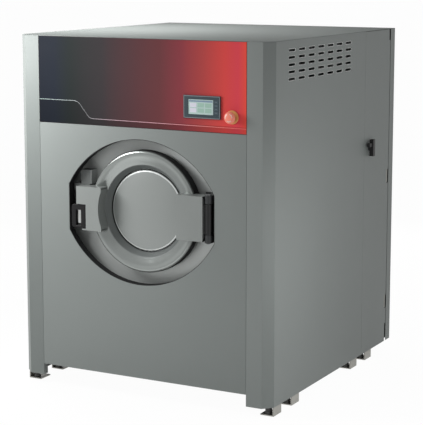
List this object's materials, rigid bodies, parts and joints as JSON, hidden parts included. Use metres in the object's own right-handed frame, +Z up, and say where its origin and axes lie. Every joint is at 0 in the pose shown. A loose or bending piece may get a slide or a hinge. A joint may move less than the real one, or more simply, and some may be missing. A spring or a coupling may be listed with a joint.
{
  "type": "washer-extractor",
  "caption": "Industrial front-load washer-extractor with a round swing door, a red control fascia with a display and a stop button, louvred sides and floor brackets.",
  "frame": {"origin": "centre of the outer floor anchor pattern, at floor level", "axes": "+X to the right seen from the front, the front faces -Y, +Z up"},
  "size_m": [1.02, 1.158, 1.258],
  "materials": {
    "base_frame": "satin",
    "foot_brackets": "satin",
    "levelling_feet": "satin",
    "cabinet_frame": "satin",
    "left_side_panel": "satin",
    "right_side_panel": "satin",
    "rear_panel": "satin",
    "front_panel": "satin",
    "control_fascia": "satin",
    "fascia_film": "semi-gloss",
    "top_cover_front": "satin",
    "top_cover_rear": "satin",
    "display_bezel": "matt",
    "display_screen": "gloss",
    "stop_collar": "gloss",
    "stop_contacts": "matt",
    "stop_plunger": "matt",
    "stop_head": "gloss",
    "electrical_box": "satin",
    "inlet_valves": "matt",
    "water_hoses": "matt",
    "drain_outlet": "satin",
    "vent_pipe": "satin",
    "cable_gland": "matt",
    "service_hinges": "satin",
    "cover_screws": "satin",
    "suspension_springs": "satin",
    "damper_bodies": "gloss",
    "damper_rods": "polished",
    "service_door": "satin",
    "service_latch": "satin",
    "tub_shell": "satin",
    "tub_front_plate": "satin",
    "tub_back_plate": "satin",
    "bearing_housing": "cast, painted",
    "drum_bearings": "ground",
    "shaft_seal": "matt",
    "tub_cradle": "satin",
    "counterweights": "cast, painted",
    "motor_housing": "cast, painted",
    "drive_belt": "matt",
    "drain_valve": "matt",
    "hinge_bracket": "satin",
    "hinge_pin": "ground",
    "lock_housing": "satin",
    "lock_bolt": "ground",
    "door_gasket": "matt",
    "drum_shell": "satin",
    "drum_lifters": "satin",
    "drum_spider": "machined",
    "drum_pulley": "cast, painted",
    "motor_rotor": "machined",
    "door_ring": "bright",
    "door_glass": "clear",
    "glass_clamp": "satin",
    "window_cover": "satin",
    "hinge_plate": "satin",
    "lock_plate": "satin",
    "door_handle": "satin",
    "handle_pin": "ground"
  },
  "bodies": {
    "cabinet": {"base_frame": "base_frame", "foot_brackets": "foot_brackets", "levelling_feet": "levelling_feet", "cabinet_frame": "cabinet_frame", "left_side_panel": "left_side_panel", "right_side_panel": "right_side_panel", "rear_panel": "rear_panel", "front_panel": "front_panel", "control_fascia": "control_fascia", "fascia_film": "fascia_film", "top_cover_front": "top_cover_front", "top_cover_rear": "top_cover_rear", "display_bezel": "display_bezel", "display_screen": "display_screen", "stop_collar": "stop_collar", "stop_contacts": "stop_contacts", "electrical_box": "electrical_box", "inlet_valves": "inlet_valves", "water_hoses": "water_hoses", "drain_outlet": "drain_outlet", "vent_pipe": "vent_pipe", "cable_gland": "cable_gland", "service_hinges": "service_hinges", "cover_screws": "cover_screws", "suspension_springs": "suspension_springs", "damper_bodies": "damper_bodies"},
    "tub": {"damper_rods": "damper_rods", "tub_shell": "tub_shell", "tub_front_plate": "tub_front_plate", "tub_back_plate": "tub_back_plate", "bearing_housing": "bearing_housing", "drum_bearings": "drum_bearings", "shaft_seal": "shaft_seal", "tub_cradle": "tub_cradle", "counterweights": "counterweights", "motor_housing": "motor_housing", "drive_belt": "drive_belt", "drain_valve": "drain_valve", "hinge_bracket": "hinge_bracket", "hinge_pin": "hinge_pin", "lock_housing": "lock_housing", "door_gasket": "door_gasket"},
    "drum": {"drum_shell": "drum_shell", "drum_lifters": "drum_lifters", "drum_spider": "drum_spider", "drum_pulley": "drum_pulley"},
    "motor_rotor": {"motor_rotor": "motor_rotor"},
    "door": {"door_ring": "door_ring", "door_glass": "door_glass", "glass_clamp": "glass_clamp", "window_cover": "window_cover", "hinge_plate": "hinge_plate", "lock_plate": "lock_plate", "handle_pin": "handle_pin"},
    "handle": {"door_handle": "door_handle"},
    "lock_bolt": {"lock_bolt": "lock_bolt"},
    "stop_plunger": {"stop_plunger": "stop_plunger"},
    "stop_head": {"stop_head": "stop_head"},
    "service_door": {"service_door": "service_door"},
    "service_latch": {"service_latch": "service_latch"}
  },
  "joints": [
    {"name": "tub_bounce", "type": "slide", "parent": "cabinet", "child": "tub", "axis": [0, 0, 1], "range_m": [-0.01, 0.01], "stiffness_N_per_m": 120000, "springref_m": 0.02722, "deforming": ["suspension_springs"]},
    {"name": "drum_spin", "type": "hinge", "parent": "tub", "child": "drum", "pos_m": [0, 0, 0.66], "axis": [0, 1, 0], "continuous": true},
    {"name": "motor_spin", "type": "hinge", "parent": "tub", "child": "motor_rotor", "pos_m": [-0.27, 0, 0.222], "axis": [0, 1, 0], "continuous": true},
    {"name": "door_hinge", "type": "hinge", "parent": "tub", "child": "door", "pos_m": [0.266, -0.478, 0.66], "axis": [0, 0, 1], "range_deg": [0, 125]},
    {"name": "handle_pull", "type": "hinge", "parent": "door", "child": "handle", "pos_m": [-0.222, -0.482, 0.63], "axis": [0, 0, 1], "range_deg": [0, 30], "stiffness_Nm_per_rad": 1.5, "springref_deg": -11.46},
    {"name": "lock_bolt_slide", "type": "slide", "parent": "tub", "child": "lock_bolt", "axis": [0, 0, -1], "range_m": [0, 0.014], "stiffness_N_per_m": 100, "springref_m": -0.006},
    {"name": "stop_push", "type": "slide", "parent": "cabinet", "child": "stop_plunger", "axis": [0, 1, 0], "range_m": [0, 0.005], "stiffness_N_per_m": 800, "springref_m": -0.001},
    {"name": "stop_twist", "type": "hinge", "parent": "stop_plunger", "child": "stop_head", "pos_m": [0.357, -0.5, 1.008], "axis": [0, 1, 0], "range_deg": [0, 30], "stiffness_Nm_per_rad": 0.3, "springref_deg": -5.73},
    {"name": "service_door_hinge", "type": "hinge", "parent": "cabinet", "child": "service_door", "pos_m": [0.492, 0.548, 0.65], "axis": [0, 0, 1], "range_deg": [0, 85]},
    {"name": "service_latch_turn", "type": "hinge", "parent": "service_door", "child": "service_latch", "pos_m": [0.5, 0.358, 0.822], "axis": [-1, 0, 0], "range_deg": [0, 90]}
  ],
  "couplings": [
    {"joint": "motor_spin", "follows": "drum_spin", "ratio": 3.3333}
  ]
}
